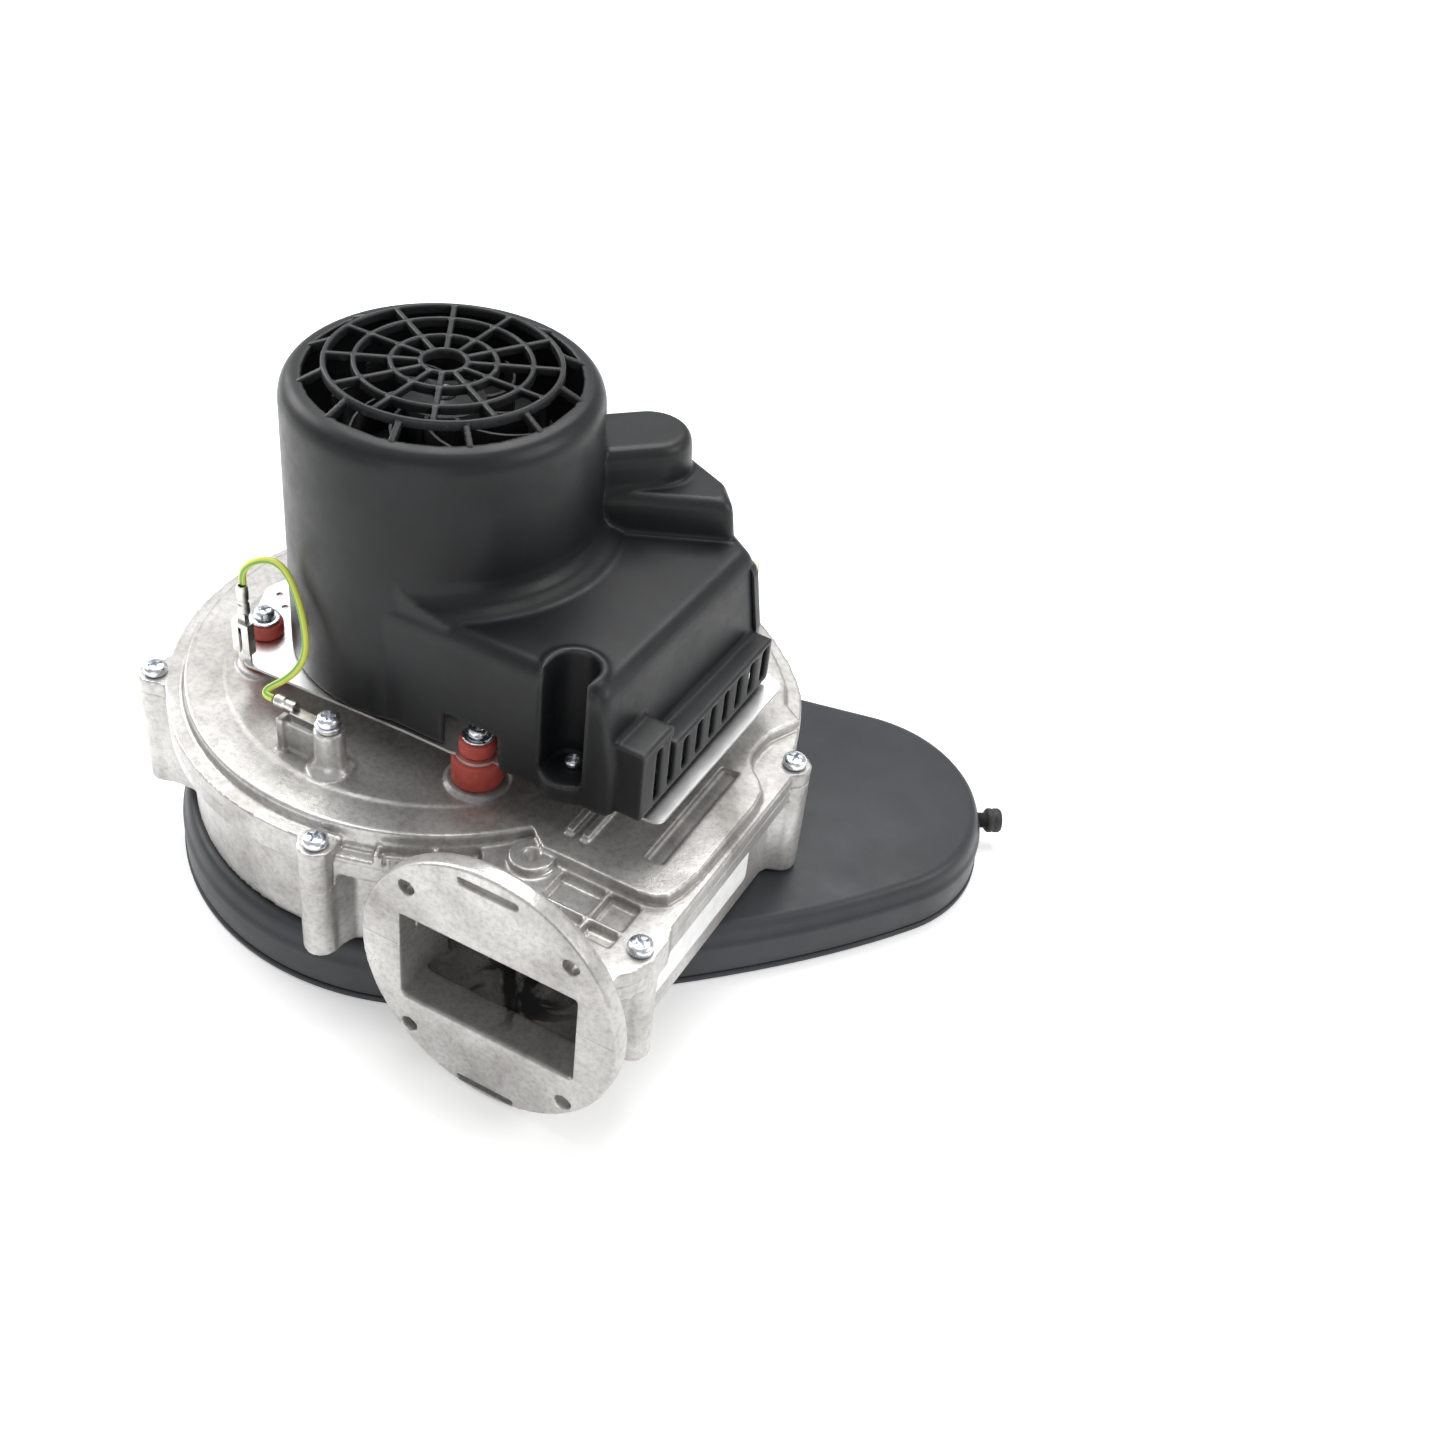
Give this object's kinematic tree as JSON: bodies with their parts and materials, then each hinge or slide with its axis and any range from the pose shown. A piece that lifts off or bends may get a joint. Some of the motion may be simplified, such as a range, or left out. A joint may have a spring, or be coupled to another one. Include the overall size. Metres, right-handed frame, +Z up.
{
  "type": "combustion fan",
  "caption": "Boiler combustion fan: split cast volute with a round outlet flange on a teardrop inlet plenum, driven from above by a motor under a grilled plastic cover.",
  "frame": {"origin": "on the rotor axis, at the underside of the plenum base", "axes": "+Z up along the rotor axis towards the grille; -Y is the way the outlet flange faces; +X to the right seen from the outlet"},
  "size_m": [0.3219, 0.262, 0.221],
  "materials": {
    "plenum_plastic": "moulded, fine grain, slight sheen",
    "black_rubber": "matt moulded rubber",
    "cast_aluminium": "die cast, tumbled and stained",
    "zinc_steel": "bright zinc plate",
    "silicone": "matt silicone rubber",
    "sheet_steel": "bright rolled sheet",
    "cover_plastic": "moulded, fine grain, slight sheen",
    "beige_plastic": "moulded nylon",
    "wire_insulation": "extruded insulation, yellow with a green stripe",
    "tinned_terminal": "tin plated",
    "lamination": "stacked electrical steel",
    "copper_winding": "enamelled copper",
    "magnet": "sintered ferrite",
    "rolled_aluminium": "rolled sheet",
    "board_laminate": "solder resist over glass laminate",
    "capacitor_sleeve": "printed sleeve over a drawn can"
  },
  "bodies": {
    "housing": {"plenum_shell": "plenum_plastic", "plenum_base": "plenum_plastic", "locating_buffer": "black_rubber", "upper_scroll": "cast_aluminium", "lower_scroll": "cast_aluminium", "plenum_seal": "black_rubber", "housing_screw_1": "zinc_steel", "housing_screw_2": "zinc_steel", "housing_screw_3": "zinc_steel", "housing_screw_4": "zinc_steel", "housing_screw_5": "zinc_steel", "housing_screw_6": "zinc_steel", "isolator_1": "silicone", "isolator_2": "silicone", "isolator_3": "silicone", "isolator_washer_1": "zinc_steel", "isolator_washer_2": "zinc_steel", "isolator_washer_3": "zinc_steel", "isolator_screw_1": "zinc_steel", "isolator_screw_2": "zinc_steel", "isolator_screw_3": "zinc_steel", "motor_plate": "sheet_steel", "motor_cover": "cover_plastic", "cover_screw_1": "zinc_steel", "cover_screw_2": "zinc_steel", "cover_screw_3": "zinc_steel", "rear_cover": "cover_plastic", "power_connector": "beige_plastic", "earth_wire": "wire_insulation", "earth_receptacle": "tinned_terminal", "earth_ring_terminal": "tinned_terminal", "earth_washer": "zinc_steel", "earth_screw": "zinc_steel", "lower_end_shield": "cast_aluminium", "upper_end_shield": "cast_aluminium", "stator_core": "lamination", "stator_coil_1": "copper_winding", "stator_coil_2": "copper_winding", "stator_coil_3": "copper_winding", "stator_coil_4": "copper_winding", "stator_coil_5": "copper_winding", "stator_coil_6": "copper_winding", "lower_bearing": "sheet_steel", "upper_bearing": "sheet_steel", "shaft_seal": "black_rubber", "circuit_board": "board_laminate", "capacitor_1": "capacitor_sleeve", "capacitor_2": "capacitor_sleeve", "heat_sink": "cast_aluminium"},
    "rotor": {"shaft": "sheet_steel", "rotor_core": "lamination", "rotor_magnet": "magnet", "impeller": "rolled_aluminium", "impeller_nut": "zinc_steel", "cooling_fan": "cover_plastic"}
  },
  "joints": [
    {"name": "rotor_spin", "type": "hinge", "parent": "housing", "child": "rotor", "pos_m": [0, 0, 0], "axis": [0, 0, 1], "continuous": true}
  ]
}
